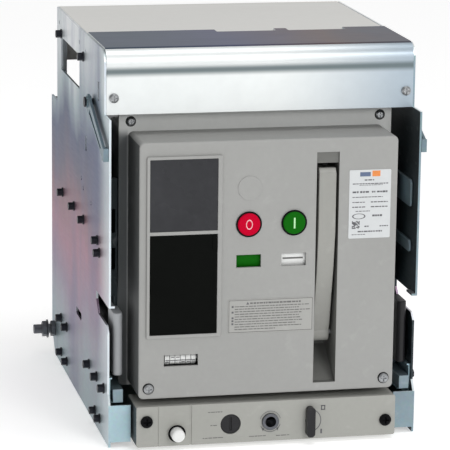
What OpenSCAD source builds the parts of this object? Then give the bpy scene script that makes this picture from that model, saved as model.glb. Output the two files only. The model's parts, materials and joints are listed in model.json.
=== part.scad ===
// Three-pole draw-out air circuit breaker in its galvanised cradle.
// Lengths are in millimetres: X to the right, Y from front to back, Z up.
// The origin is the centre of the four floor fixing holes, on the cradle's underside.
// Depths are drawn from the cradle's front face and moved to the origin by from_front().

/* [Cradle] */
// Width over the two side plates
cradle_w = 366; // [362:1:372]
// Height of the hood's top above the floor
cradle_h = 460; // [456:1:470]
// Depth of the side plates below the shoulder
cradle_d = 430; // [424:1:440]
// Depth of the side plates above the shoulder
shoulder_d = 382; // [374:1:386]
// Height of the shoulder at the back of the side plates
shoulder_z = 338; // [330:1:345]
// Thickness of the galvanised sheet
sheet = 2.5; // [2:0.1:3]
// Distance from the front face back to the floor fixings' centre
front_to_origin = 200; // [195:1:205]
// Distance across between the floor fixing holes
fixing_w = 300; // [280:1:310]
// Distance front to back between the floor fixing holes
fixing_d = 280; // [260:1:290]
// Radius of a floor fixing hole
fixing_r = 5.5; // [4.5:0.1:6.5]

/* [Hood] */
// Width of the hood
hood_w = 361; // [360:0.5:361]
// Depth of the hood's front face
hood_front = 27.5; // [26:0.5:29]
// Height of the hood's lower edge
hood_bottom = 384.5; // [384:0.5:386]
// Radius of the bend along the hood's upper front edge
hood_bend = 16; // [12:0.5:18]
// Depth of the hood's dark top strip
hood_strip = 130; // [120:1:135]

/* [Front cover] */
// Half of the front cover's width
cover_x = 151; // [149:0.5:152]
// Depth of the cover's front face
cover_front = -21; // [-23:0.5:-20]
// Depth of the cover's open back
cover_back = 52; // [50:1:52]
// Height of the cover's lower edge
cover_z0 = 60.5; // [60:0.5:61]
// Height of the cover's upper edge
cover_z1 = 360.5; // [358:0.5:361]
// Thickness of the cover's walls
cover_t = 3.5; // [3:0.1:4]

/* [Base bar] */
// Half of the base bar's width
bar_x = 154; // [152:0.5:155]
// Depth of the base bar's front face
bar_front = -25; // [-26:0.5:-24]
// Depth of the base bar's open back
bar_back = 30; // [28:1:32]
// Height of the base bar's lower edge
bar_z0 = 4.5; // [4:0.1:5]
// Height of the base bar's upper edge
bar_z1 = 52.5; // [52:0.1:53]

/* [Charging handle] */
// Side position of the handle's left face
handle_left = 58; // [56:0.5:60]
// Width of the handle
handle_w = 20; // [18:0.5:22]
// Height of the lower end of the handle's recess
recess_bottom = 71; // [70:0.5:76]
// Height of the upper end of the handle's recess
recess_top = 344; // [342:0.5:348]
// Height of the handle's top end
handle_top = 325; // [320:1:330]
// Depth of the handle's pivot
handle_y = 8; // [6:0.5:10]
// Height of the handle's pivot
handle_z = 124; // [122:1:128]

/* [Poles] */
// Distance between neighbouring poles
pole_pitch = 96; // [94:0.5:98]
// Width of a terminal bar
bar_w = 50; // [44:1:52]
// Thickness of a terminal bar
bar_t = 15; // [12:0.5:16]
// Height of the line terminals
line_z = 235; // [230:1:240]
// Height of the load terminals
load_z = 125; // [120:1:130]
// Depth of the terminal bars' rear ends
terminal_end = 478; // [470:1:484]
// Radius of the bolt holes in the terminal bars
terminal_hole_r = 6.5; // [5.5:0.1:7]

/* [Racking] */
// Side position of the racking screw
screw_x = 4; // [3:0.5:5]
// Height of the racking screw
screw_z = 28; // [27:0.5:29]
// Radius of the racking screw's thread
screw_r = 8; // [7:0.5:9]
// Radius of the crank handle's socket
socket_r = 6.3; // [5.5:0.1:6.5]

/* [Hidden] */
$fn = 48;
half_w = cradle_w / 2;
inner_x = half_w - sheet;
plate_front = -5;
plate_top = 458;
hood_flange_z = 443;
hood_screw_x = [-172, 172];
hood_screw_z = 404;
hood_screw_r = 5.5;
shank = 0.45;
cut_z = [142, 166];
cut_depth = 82;
low_front = 4;
low_flange_z = 50;
running = 0.05;
gap = 0.3;
poles = [-pole_pitch, 0, pole_pitch];
cover_face = cover_front + cover_t;
handle_x = [handle_left, handle_left + handle_w];
recess_x = [handle_x[0] - 3, handle_x[1] + 3.5];
recess_z = [recess_bottom, recess_top];
frame_x = 162;
frame_front = 52;
frame_back = 115;
case_x = 150;
case_y = [115, 330];
case_z = [62, 330];
wall_y = [376, 428];
bezel_x = [-142.5, -55.5];
bezel_z = [132.5, 344.5];
window_x = [-139, -60.5];
upper_z = [257.5, 341];
lower_z = [136.5, 253.5];
off_at = [-24, 263];
on_at = [29, 263];
button_r = 13;
open_flag_x = [-38, -9];
charge_flag_x = [15, 44];
flag_z = [212, 227];
flag_r = 22;
flag_y = 6;
counter_x = [-121.5, -81.5];
counter_z = [98.5, 112];
counter_y = -8;
release_at = [-107, 20];
drum_at = [-43, 27];
lock_at = [51, 26.5];
latch_at = [108, 386];
rail_x = [165, 177];
rail_z = [52, 68];
shaft_y = 150;
shaft_z = 112;
arm_y = 262;
arm_z = 142;
arm_lean = 38;
rod_pin = 27;
lever_l = 30;
shaft_lean = 10;
cam_y = 80;
cam_z = 160;
door_axis = [-137, -22];

// ---- shared shapes ----

module from_front() translate([0, -front_to_origin, 0]) children();

module block(x, y, z)
  translate([x[0], y[0], z[0]]) cube([x[1] - x[0], y[1] - y[0], z[1] - z[0]]);

module rod_x(x, y, z, r) translate([x[0], y, z]) rotate([0, 90, 0]) cylinder(h = x[1] - x[0], r = r);
module rod_y(x, y, z, r) translate([x, y[0], z]) rotate([-90, 0, 0]) cylinder(h = y[1] - y[0], r = r);
module rod_z(x, y, z, r) translate([x, y, z[0]]) cylinder(h = z[1] - z[0], r = r);

// An outline drawn in depth and height, given thickness along X
module sheet_x(x) translate([x[0], 0, 0]) rotate([90, 0, 90]) linear_extrude(x[1] - x[0]) children();

// An outline drawn in width and height, given thickness along Y
module sheet_y(y) translate([0, y[1], 0]) rotate([90, 0, 0]) linear_extrude(y[1] - y[0]) children();

module rounded(x, z, r) {
  translate([x[0] + r, z[0]]) square([x[1] - x[0] - 2 * r, z[1] - z[0]]);
  translate([x[0], z[0] + r]) square([x[1] - x[0], z[1] - z[0] - 2 * r]);
  for (cx = [x[0] + r, x[1] - r], cz = [z[0] + r, z[1] - r])
    translate([cx, cz]) circle(r);
}

module mirrored() {
  children();
  mirror([1, 0, 0]) children();
}

// A pan-head screw whose head faces the front; its shank runs back by a length
module front_screw(x, y, z, r, length) {
  difference() {
    union() {
      rod_y(x, [y - r * 0.35, y], z, r);
      translate([x, y - r * 0.35, z]) rotate([90, 0, 0]) cylinder(h = r * 0.25, r1 = r, r2 = r * 0.65);
    }
    block([x - r * 0.6, x + r * 0.6], [y - r, y - r * 0.2], [z - r * 0.12, z + r * 0.12]);
    block([x - r * 0.12, x + r * 0.12], [y - r, y - r * 0.2], [z - r * 0.6, z + r * 0.6]);
  }
  rod_y(x, [y, y + length], z, r * shank);
}

// A hexagon-head bolt on the left side plate, with its washer
module side_bolt(y, z, r) {
  head = r * 1.4;
  rod_x([-half_w - 1.2, -half_w], y, z, r * 1.35);
  translate([-half_w - 1.2 - head, y, z]) rotate([0, 90, 0]) cylinder(h = head, r = r * 1.1, $fn = 6);
}

// ---- cradle ----

module side_outline() polygon([
  [plate_front, 0], [cradle_d - 25, 0], [cradle_d, 28], [cradle_d, shoulder_z],
  [shoulder_d, shoulder_z], [shoulder_d, plate_top], [hood_front + 15, plate_top],
  [hood_front + 6, plate_top - 4], [hood_front + 1, plate_top - 13],
  [hood_front + 1, hood_bottom], [plate_front, hood_bottom], [plate_front, cut_z[1]],
  [cut_depth, cut_z[1]], [cut_depth, cut_z[0] + 14], [cut_depth - 14, cut_z[0]],
  [low_front + 8, cut_z[0]], [low_front, cut_z[0] - 8], [low_front, low_flange_z + 12],
  [plate_front, low_flange_z]
]);

module side_openings() {
  // upper window, open right through above the breaker
  translate([206, 384]) square([143, 41]);
  for (slot = [[69, 405, 22], [158, 327, 18]])
    translate([slot[0] - 5, slot[1] - slot[2] / 2]) square([10, slot[2]]);
  for (hole = [[205, 441], [160, 437], [190, 278], [178, 268], [364, 441], [120, 262]])
    translate(hole) circle(2.6);
  // oval hole beside the lower rail
  translate([195, 100]) square([32, 9]);
  for (y = [195, 227])
    translate([y, 104.5]) circle(4.5);
}

module side_plate() {
  sheet_x([-half_w, -inner_x]) difference() {
    side_outline();
    side_openings();
  }
  block([-half_w, -bar_x - 3], [plate_front, plate_front + sheet], [6, low_flange_z]);
  // lip bent in along the top of the front cut-out
  block([-half_w, -half_w + 7], [plate_front, plate_front + 22], [cut_z[1], cut_z[1] + sheet]);
  // rear edge turned in above the shoulder
  block([-half_w, -half_w + 12], [shoulder_d - sheet, shoulder_d], [shoulder_z, hood_flange_z]);
}

module side_plate_left() from_front() color("lightsteelblue") side_plate();
module side_plate_right() from_front() color("lightsteelblue") mirror([1, 0, 0]) side_plate();

// Outline of the hood's front sheet, shrunk by its thickness to hollow it
module hood_outline(inset) {
  depth = hood_strip - hood_bend;
  translate([hood_front + inset, hood_bottom - inset])
    square([hood_strip, cradle_h - hood_bend - hood_bottom + inset]);
  translate([hood_front + hood_bend, hood_bottom - inset])
    square([depth + inset, cradle_h - hood_bottom]);
  translate([hood_front + hood_bend, cradle_h - hood_bend]) circle(hood_bend - inset);
}

module hood_front() from_front() color("gainsboro") difference() {
  sheet_x([-hood_w / 2, hood_w / 2]) difference() {
    intersection() {
      hood_outline(0);
      translate([hood_front, hood_bottom]) square([hood_strip, cradle_h - hood_bottom]);
    }
    hood_outline(2);
  }
  // shallow groove pressed along the front
  sheet_x([-half_w, half_w])
    polygon([
      [hood_front - 1, 432], [hood_front, 433], [hood_front + 1.2, 437.5],
      [hood_front, 442], [hood_front - 1, 443]
    ]);
  // two notches in the rear edge of the top strip, with a tab between them
  for (x = [[-29, 43], [58, 128]])
    block(x, [hood_front + hood_strip - 16, cradle_d], [cradle_h - 10, cradle_h + 1]);
  for (x = hood_screw_x)
    rod_y(x, [hood_front - 1, hood_front + 3], hood_screw_z, hood_screw_r * shank + running);
}

module hood_top() from_front() color("silver") {
  z = cradle_h - 2;
  back = shoulder_d + 3;
  block([-hood_w / 2, hood_w / 2], [hood_front + hood_strip - 28, back], [z - 1.5, z]);
  block([-hood_w / 2, hood_w / 2], [back - 2, back], [390, z]);
  mirrored()
    block([-hood_w / 2, -hood_w / 2 + 1.5], [hood_front + hood_bend, back], [hood_flange_z + 1, z]);
}

module hood_screws() from_front() color("silver") {
  for (x = hood_screw_x)
    front_screw(x, hood_front, hood_screw_z, hood_screw_r, 8);
}

module rear_wall() from_front() color("dimgray") difference() {
  union() {
    block([-inner_x, inner_x], wall_y, [16, shoulder_z - 2]);
    // ribs between the poles lengthen the creepage path
    for (x = [-1.5, -0.5, 0.5, 1.5] * pole_pitch)
      block([x - 3, x + 3], [wall_y[1], wall_y[1] + 22], [70, 290]);
  }
  for (x = poles, z = [line_z, load_z]) {
    block([x - bar_w / 2, x + bar_w / 2], [wall_y[0] - 1, wall_y[1] + 1], [z - bar_t / 2, z + bar_t / 2]);
    // pocket that shrouds the jaw
    block([x - bar_w / 2 - 9, x + bar_w / 2 + 9], [wall_y[0] - 1, wall_y[0] + 22], [z - 27, z + 27]);
  }
}

module terminal_bar(x, z) difference() {
  block([x - bar_w / 2, x + bar_w / 2], [362, terminal_end], [z - bar_t / 2, z + bar_t / 2]);
  for (side = [-1, 1])
    rod_z(x + side * 12.5, terminal_end - 18, [z - bar_t, z + bar_t], terminal_hole_r);
}

module line_terminals() from_front() color("tan") for (x = poles) terminal_bar(x, line_z);
module load_terminals() from_front() color("tan") for (x = poles) terminal_bar(x, load_z);

// Insulating shutter plates, parked above and below the jaws
module shutter_plates() from_front() color("darkkhaki") {
  for (z = [[line_z + 32, line_z + 76], [load_z - 84, load_z - 32]])
    difference() {
      block([-case_x - 6, case_x + 6], [wall_y[0] - 4.5, wall_y[0] - 1.5], z);
      for (x = [-1, 1] * pole_pitch / 2)
        rod_y(x, [wall_y[0] - 5, wall_y[0] - 1], (z[0] + z[1]) / 2, 4);
    }
  for (x = [-1, 1] * pole_pitch / 2, z = [line_z + 54, load_z - 58])
    rod_y(x, [wall_y[0] - 5.5, wall_y[0]], z, 4);
}

module bottom_tray() from_front() color("lightsteelblue") {
  z1 = 3;
  difference() {
    block([-inner_x, inner_x], [bar_back, cradle_d - 26], [0, z1]);
    for (x = [-1, 1] * fixing_w / 2, y = [-1, 1] * fixing_d / 2)
      rod_z(x, front_to_origin + y, [-1, z1 + 1], fixing_r);
    block([-60, 60], [200, 280], [-1, z1 + 1]);
  }
  block([-inner_x, inner_x], [cradle_d - 28, cradle_d - 26], [z1, 16]);
  mirrored() block([-inner_x, -inner_x + 2], [bar_back, wall_y[0] - 2], [z1, 24]);
}

// C-shaped channels bolted inside the side plates
module fixed_rails() from_front() color("lightslategray") mirrored() {
  block([-inner_x, -inner_x + 2], [low_front + 4, 372], [40, 80]);
  block([-inner_x, -rail_x[0]], [low_front + 4, 372], [rail_z[0] - 2 - gap, rail_z[0] - gap]);
  block([-inner_x, -inner_x + 4], [low_front + 4, 372], [78, 80]);
}

module plate_bolts() from_front() color("dimgray") mirrored() {
  for (y = [28, 78, 133, 306, 352])
    side_bolt(y, 62, 4.6);
  for (y = [56, 90, 306, 352])
    side_bolt(y, 17, 4.4);
  for (at = [[339, 229], [248, 231], [176, 230], [75, 228], [61, 216], [176, 428], [347, 429]])
    side_bolt(at[0], at[1], 4.4);
}

module earth_stud() from_front() color("slategray") {
  y = 406;
  z = 34;
  rod_x([-half_w - 28, -half_w], y, z, 6);
  for (x = [-half_w - 6, -half_w - 17])
    translate([x, y, z]) rotate([0, 90, 0]) difference() {
      cylinder(h = 5.5, r = 10.5, $fn = 6);
      translate([0, 0, -1]) cylinder(h = 8, r = 6);
    }
  translate([-half_w - 11, y, z]) rotate([0, 90, 0]) difference() {
    cylinder(h = 1.6, r = 12);
    translate([0, 0, -1]) cylinder(h = 4, r = 6);
  }
}

module base_bar() from_front() color("darkgray") difference() {
  union() {
    sheet_y([bar_front, bar_back]) rounded([-bar_x, bar_x], [bar_z0, bar_z1], 2.5);
    // collar around the release button
    rod_y(release_at[0], [bar_front - 3, bar_front], release_at[1], 10.5);
  }
  sheet_y([bar_front + 4, bar_back + 1]) rounded([-bar_x + 4, bar_x - 4], [bar_z0 + 3, bar_z1 - 3], 1);
  rod_y(release_at[0], [bar_front - 5, bar_front + 5], release_at[1], 8.2);
  rod_y(drum_at[0], [bar_front - 5, bar_front + 5], drum_at[1], 12);
  rod_y(screw_x, [bar_front - 5, bar_front + 5], screw_z, 10);
  rod_y(lock_at[0], [bar_front - 5, bar_front + 5], lock_at[1], 5.3);
  // seam and groove at the left end
  block([-129, -127.8], [bar_front - 1, bar_front + 0.6], [bar_z0 - 1, bar_z1 + 1]);
  block([-92, -89], [bar_front - 1, bar_front + 0.9], [bar_z0 - 1, bar_z1 + 1]);
  for (at = [[-142, 35], [142, 23]])
    rod_y(at[0], [bar_front - 5, bar_front + 5], at[1], 3.4);
}

module base_bar_screws() from_front() color("black") {
  front_screw(-142, bar_front, 35, 7, 16);
  front_screw(142, bar_front, 23, 7, 16);
}

module crank_sleeve() from_front() color("silver") difference() {
  union() {
    rod_y(screw_x, [bar_front - 3, 0], screw_z, 9.9);
    rod_y(screw_x, [bar_front + 4, bar_front + 7], screw_z, 14);
  }
  rod_y(screw_x, [bar_front - 4, 1], screw_z, socket_r);
}

// Pedestals that carry the racking screw's two plain journals
module screw_bearing() from_front() color("slategray") for (y = [[40, 52], [296, 308]])
  difference() {
    block([screw_x - 18, screw_x + 18], y, [3, 46]);
    rod_y(screw_x, [y[0] - 1, y[1] + 1], screw_z, 6 + running);
  }

module control_terminals() from_front() color("darkolivegreen") difference() {
  block([-96, 96], [frame_back + 2, frame_back + 40], [370, 402]);
  for (i = [-11:11])
    block([i * 8 - 2.6, i * 8 + 2.6], [frame_back + 14, frame_back + 30], [392, 403]);
}

module terminal_bracket() from_front() color("silver") {
  block([-100, 100], [frame_back + 40, frame_back + 42], [366, cradle_h - 3.5]);
  block([-100, 100], [frame_back + 4, frame_back + 42], [368, 370]);
}

// Spring-steel lever outside a side plate that locks the sliding rail
module latch() {
  x = [-half_w - 6.5, -half_w - 3.5];
  difference() {
    union() {
      sheet_x(x) {
        polygon([[-3, 351], [5, 340], [116, 378], [110, 395], [99, 392]]);
        translate(latch_at) circle(9);
      }
      rod_x([-half_w - 8, -half_w - 2], latch_at[0], latch_at[1], 7);
      block([x[0], -half_w - 0.4], [-5, 7], [337, 352]);
    }
    rod_x([-half_w - 9, -half_w + 1], latch_at[0], latch_at[1], 4 + running);
    // channel pressed along the lever
    sheet_x([x[0] - 1, x[0] + 1.4]) polygon([[14, 350], [17, 347.5], [96, 374.5], [94, 380]]);
  }
}

module latch_left() from_front() color("silver") latch();
module latch_right() from_front() color("silver") mirror([1, 0, 0]) latch();

module latch_pivots() from_front() color("gray") mirrored() {
  rod_x([-half_w - 9, -half_w], latch_at[0], latch_at[1], 4);
  rod_x([-half_w - 10.5, -half_w - 8.6], latch_at[0], latch_at[1], 6);
}

// ---- sliding rails ----

module sliding_rail() difference() {
  block([-rail_x[1], -rail_x[0]], [0, 352], rail_z);
  // lightening groove along the outer face
  block([-rail_x[1] - 1, -rail_x[1] + 4], [12, 340], [rail_z[0] + 4, rail_z[1] - 4]);
}

module sliding_rail_left() from_front() color("gainsboro") sliding_rail();
module sliding_rail_right() from_front() color("gainsboro") mirror([1, 0, 0]) sliding_rail();

// ---- racking gear ----

module racking_screw() from_front() color("silver") {
  rod_y(screw_x, [2, 296], screw_z, 6);
  rod_y(screw_x, [296, 314], screw_z, 6);
  translate([screw_x, 0.5, screw_z]) rotate([-90, 0, 0]) cylinder(h = 12, r = 5.5, $fn = 4);
  // square thread shown as evenly spaced collars
  for (i = [0:38])
    rod_y(screw_x, [58 + i * 6, 61 + i * 6], screw_z, screw_r);
}

module racking_nut() from_front() color("goldenrod") difference() {
  union() {
    block([screw_x - 18, screw_x + 18], [166, 190], [10, 46]);
    block([screw_x - 10, screw_x + 10], [180, 190], [46, 60]);
  }
  rod_y(screw_x, [160, 200], screw_z, screw_r + running);
}

module position_drum() from_front() color("black") difference() {
  union() {
    rod_y(drum_at[0], [bar_front + 1, bar_front + 12], drum_at[1], 11.8);
    rod_y(drum_at[0], [bar_front + 12, 20], drum_at[1], 4);
  }
  translate([drum_at[0], bar_front, drum_at[1]])
    block([-1.2, 1.2], [0, 2.5], [-8, 8]);
}

module release_button() from_front() color("white") {
  rod_y(release_at[0], [bar_front - 13, bar_front + 8], release_at[1], 7.6);
  translate([release_at[0], bar_front - 13, release_at[1]]) rotate([90, 0, 0])
    cylinder(h = 2, r1 = 7.6, r2 = 6);
  rod_y(release_at[0], [bar_front + 8, 8], release_at[1], 3.5);
}

module lock_lever() from_front() color("black") {
  sheet_y([bar_front - 9, bar_front - 0.5])
    rounded([lock_at[0] - 5, lock_at[0] + 5], [lock_at[1] - 18, lock_at[1] + 18], 4.5);
  rod_y(lock_at[0], [bar_front - 0.5, bar_front + 22], lock_at[1], 5);
}

// ---- breaker ----

// Moulded case with one cell for each pole
module pole_case() from_front() color("dimgray") difference() {
  union() {
    block([-case_x, case_x], case_y, case_z);
    // lug that the racking nut pushes out
    block([screw_x - 10, screw_x + 10], [166, 179.5], [bar_z1 + 1, case_z[0]]);
  }
  for (x = poles) {
    block([x - 43, x + 43], [case_y[0] + 8, case_y[1] - 8], [case_z[0] + 6, case_z[1] + 1]);
    for (z = [line_z, load_z])
      block([x - bar_w / 2, x + bar_w / 2], [case_y[1] - 9, case_y[1] + 1], [z - bar_t / 2, z + bar_t / 2]);
    // slot for the pole's drive link
    block([x - 14, x + 14], [case_y[0] - 1, case_y[0] + 9], [shaft_z - 26, shaft_z + 40]);
  }
  rod_x([-case_x - 1, case_x + 1], shaft_y, shaft_z, 11 + running);
}

// Moulded frame around the mechanism; the front cover closes it
module front_frame() from_front() color("gray") difference() {
  union() {
    sheet_y([frame_front, frame_back]) rounded([-frame_x, frame_x], [58, 366], 6);
    sheet_y([frame_front, frame_front + 6]) rounded([-frame_x, frame_x], [58, 383], 6);
  }
  block([-case_x + 6, case_x - 6], [frame_front - 1, frame_back - 6], [66, 355]);
  block([-case_x + 10, case_x - 10], [frame_back - 7, frame_back + 1], [84, 155]);
  for (x = [-148, 148])
    rod_y(x, [frame_front - 1, frame_front + 7], 372, 2.4);
}

module window_hole(x, z) block(x, [cover_front - 1, cover_face + 1], z);

module front_cover() from_front() color("silver") difference() {
  union() {
    difference() {
      sheet_y([cover_front, cover_back]) rounded([-cover_x, cover_x], [cover_z0, cover_z1], 6);
      sheet_y([cover_face, cover_back + 1])
        rounded([-cover_x + cover_t, cover_x - cover_t], [cover_z0 + cover_t, cover_z1 - cover_t], 3);
    }
    // walls of the handle's recess
    block([recess_x[0] - 2.5, recess_x[1] + 2.5], [cover_face, 34], [recess_z[0] - 2.5, recess_z[1] + 2.5]);
    for (at = [off_at, on_at])
      rod_y(at[0], [cover_front - 1.2, 0], at[1], button_r + 2.2);
    for (x = [-139.5, 139.5])
      rod_y(x, [cover_face, cover_back], 73, 5.5);
    rod_y(-23, [cover_front - 0.6, cover_face], 305, 14);
  }
  difference() {
    block(recess_x, [cover_front - 1, 31.5], recess_z);
    // floor that slopes down towards the front
    sheet_x(recess_x) polygon([[32, 70], [32, 104], [cover_front + 8, 70]]);
    block(recess_x, [cover_front + 2.5, 40], [331, 345]);
  }
  window_hole(window_x, [lower_z[0], upper_z[1]]);
  window_hole(open_flag_x, flag_z);
  window_hole(charge_flag_x, flag_z);
  window_hole(counter_x, counter_z);
  for (at = [off_at, on_at])
    rod_y(at[0], [cover_front - 3, 1], at[1], button_r + 0.3);
  for (x = [-139.5, 139.5])
    rod_y(x, [cover_front - 1, cover_back + 1], 73, 2.6);
  rod_x([recess_x[0] - 5, recess_x[1] + 5], handle_y, handle_z, 3);
}

module cover_screws() from_front() color("silver") {
  for (x = [-139.5, 139.5])
    front_screw(x, cover_front, 73, 5.6, 60);
  for (x = [-148, 148])
    front_screw(x, frame_front, 372, 5, 6);
}

// Galvanised plate on each side of the breaker; its foot rests on the sliding rail
module carrier_plate() difference() {
  union() {
    block([-frame_x - 3, -frame_x], [58, 325], [rail_z[1], 300]);
    block([-rail_x[1], -frame_x], [58, 325], [rail_z[1], rail_z[1] + 3]);
    // tabs folded outward along the front edge
    for (z = [[268, 305], [222, 240], [164, 196]])
      block([-frame_x - 11, -frame_x], [58, 61], z);
    block([-frame_x, -case_x], [140, 300], [90, 93]);
    block([-frame_x, -case_x], [140, 300], [280, 283]);
  }
  block([-frame_x - 4, -frame_x + 1], [120, 280], [150, 250]);
}

module carrier_plate_left() from_front() color("lightsteelblue") carrier_plate();
module carrier_plate_right() from_front() color("lightsteelblue") mirror([1, 0, 0]) carrier_plate();

// Rounded grips on the breaker's lower front corners
module side_guards() from_front() color("whitesmoke") mirrored() {
  translate([0, 0, 82]) linear_extrude(74) {
    translate([-169.5, 14]) circle(5.5);
    translate([-175, 14]) square([11, 32]);
  }
  block([-168, -frame_x], [46, 58], [92, 130]);
}

module control_plug() from_front() color("darkolivegreen")
  block([-96, 96], [74, frame_back + 1], [366, 382]);

module arc_chutes() from_front() color("dimgray") for (x = poles) {
  for (side = [-1, 1])
    block([x + side * 40 - 2, x + side * 40 + 2], [190, 300], [262, 334]);
  block([x - 42, x + 42], [190, 300], [334, 338]);
  for (i = [0:8])
    block([x - 38, x + 38], [194 + i * 12, 196 + i * 12], [268, 334]);
}

module line_conductors() from_front() color("tan") for (x = poles) {
  block([x - bar_w / 2, x + bar_w / 2], [arm_y, 352], [line_z - bar_t / 2, line_z + bar_t / 2]);
  // fixed contact, slanted to meet the closed arms
  sheet_x([x - 18, x + 18])
    polygon([
      [arm_y, 200], [arm_y - 3.4, 200], [arm_y - 9, 221.5],
      [arm_y - 9, line_z + bar_t / 2], [arm_y, line_z + bar_t / 2]
    ]);
}

module load_conductors() from_front() color("tan") for (x = poles) {
  block([x - bar_w / 2, x + bar_w / 2], [250, 352], [load_z - bar_t / 2, load_z + bar_t / 2]);
  for (side = [-1, 1])
    difference() {
      block([x + side * 22 - 3, x + side * 22 + 3], [252, 272], [load_z + bar_t / 2, arm_z + 8]);
      rod_x([x - 30, x + 30], arm_y, arm_z, 4);
    }
  rod_x([x - 25, x + 25], arm_y, arm_z, 4);
}

// Sprung fingers above and below each conductor that grip the cradle's terminals
module jaw_clusters() from_front() color("darkgoldenrod") for (x = poles, z = [line_z, load_z]) {
  for (i = [-3:3], side = [0, 1])
    mirror_z(z, side)
      block([x + i * 7 - 2.8, x + i * 7 + 2.8], [334, 392], [z + bar_t / 2 + gap, z + bar_t / 2 + 9]);
  for (side = [0, 1])
    mirror_z(z, side)
      block([x - 25, x + 25], [338, 346], [z + bar_t / 2 + 9, z + bar_t / 2 + 14]);
  for (side = [-1, 1])
    block([x + side * 26 - 1, x + side * 26 + 1], [338, 346], [z - bar_t / 2 - 14, z + bar_t / 2 + 14]);
}

module mirror_z(z, on) {
  if (on == 0) children();
  else translate([0, 0, 2 * z]) mirror([0, 0, 1]) children();
}

module current_transformers() from_front() color("black") for (x = poles)
  difference() {
    rod_y(x, [284, 312], load_z, 38);
    rod_y(x, [283, 313], load_z, 27);
  }

// Point at a distance from a pivot, leaning towards the front by an angle
function leaning(pivot, length, angle) =
  [pivot[0] - length * sin(angle), pivot[1] + length * cos(angle)];

module main_shaft() from_front() color("silver") {
  tip = leaning([shaft_y, shaft_z], lever_l, shaft_lean);
  rod_x([-case_x - 6, case_x + 6], shaft_y, shaft_z, 11);
  for (x = poles, side = [-1, 1])
    sheet_x([x + side * 10 - 2, x + side * 10 + 2]) {
      polygon([
        [shaft_y - 10, shaft_z], [shaft_y + 10, shaft_z],
        [tip[0] + 6, tip[1]], [tip[0] - 6, tip[1]]
      ]);
      translate(tip) circle(6);
    }
}

// Contact arms in five fingers a pole, carried on the load conductor's pivot; open at rest
module moving_contacts() from_front() color("peru") for (x = poles) {
  for (i = [-2:2])
    difference() {
      translate([x + i * 7 - 2.5, arm_y, arm_z]) rotate([arm_lean, 0, 0]) {
        block([0, 5], [-8, 7], [0, 78]);
        rod_x([0, 5], 0, 0, 8);
      }
      rod_x([x - 30, x + 30], arm_y, arm_z, 4 + running);
    }
  translate([x, arm_y, arm_z]) rotate([arm_lean, 0, 0]) {
    block([-16, 16], [6, 11], [62, 77]);
    rod_x([-14, 14], -14, rod_pin, 3);
    for (side = [-1, 1])
      block([side * 13.5 - 2.5, side * 13.5 + 2.5], [-18, -8], [rod_pin - 6, rod_pin + 6]);
  }
}

// Insulating rods between the shaft's levers and the contact arms
module drive_rods() from_front() color("ivory") {
  pin = leaning([arm_y, arm_z], norm([14, rod_pin]), arm_lean + atan(14 / rod_pin));
  tip = leaning([shaft_y, shaft_z], lever_l, shaft_lean);
  for (x = poles)
    difference() {
      sheet_x([x - 6, x + 6]) {
        translate(pin) circle(5.5);
        translate(tip) circle(7);
        translate(tip) rotate(atan((pin[1] - tip[1]) / (pin[0] - tip[0])))
          translate([0, -5]) square([norm(pin - tip), 10]);
      }
      rod_x([x - 7, x + 7], pin[0], pin[1], 3 + running);
    }
}

module mechanism_frame() from_front() color("slategray") {
  for (x = [-48, 108])
    difference() {
      block([x - 2, x + 2], [60, 107], [80, 345]);
      rod_x([x - 3, x + 3], cam_y, cam_z, 9 + running);
    }
  for (z = [84, 335])
    block([-46, 106], [62, 105], [z, z + 5]);
  block([-46, 106], [99, 105], [250, 256]);
}

// Camshaft with its cam and ratchet wheel
module camshaft() from_front() color("gray") {
  teeth = 20;
  rod_x([-54, 114], cam_y, cam_z, 9);
  rod_x([20, 30], cam_y + 7, cam_z, 19);
  rod_x([64, 71], cam_y, cam_z, 21);
  for (i = [0:teeth - 1])
    translate([64, cam_y, cam_z]) rotate([i * 360 / teeth, 0, 0]) translate([0, 0, 19])
      rotate([90, 0, 90]) linear_extrude(7) polygon([[-3, 0], [3, 0], [-3, 5]]);
}

// Closing spring as stacked coils around its guide rod
module closing_spring() from_front() color("silver") {
  at = [25, 82];
  rod_z(at[0], at[1], [187.5, 335], 5);
  rod_z(at[0], at[1], [208, 213], 16);
  for (i = [0:9])
    translate([at[0], at[1], 218.5 + i * 11.5]) rotate_extrude() translate([12, 0]) circle(3);
}

module handle_outline() {
  polygon([
    [cover_front - 1, handle_top - 6], [cover_front + 3, handle_top], [cover_front + 9, handle_top],
    [cover_front + 13, handle_top - 4], [cover_front + 13, 250], [cover_front + 17, 205],
    [handle_y + 8, handle_z + 12], [handle_y + 8, handle_z], [handle_y - 8, handle_z],
    [handle_y - 12, handle_z + 14], [cover_front + 4, 205], [cover_front - 1, 250]
  ]);
  translate([handle_y, handle_z]) circle(10);
}

module charging_handle() from_front() color("lightgray") difference() {
  sheet_x(handle_x) handle_outline();
  // hollow back of the grip
  block([handle_x[0] + 3.5, handle_x[1] - 3.5], [cover_front + 4, cover_front + 14], [262, handle_top - 8]);
  rod_x([handle_x[0] - 1, handle_x[1] + 1], handle_y, handle_z, 3 + running);
}

module handle_pin() from_front() color("silver")
  rod_x([recess_x[0] - 2.5, recess_x[1] + 2.5], handle_y, handle_z, 3);

module trip_relay() from_front() color("black") {
  block([-137, -62.5], [-12, 44], [138.5, 339]);
  // setting dials and keypad behind the lower window
  for (i = [0:3])
    rod_y(-122 + i * 16, [-15.5, -12], 226, 5);
  for (i = [0:2])
    block([-128 + i * 20, -116 + i * 20], [-14, -12], [192, 200]);
}

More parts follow.
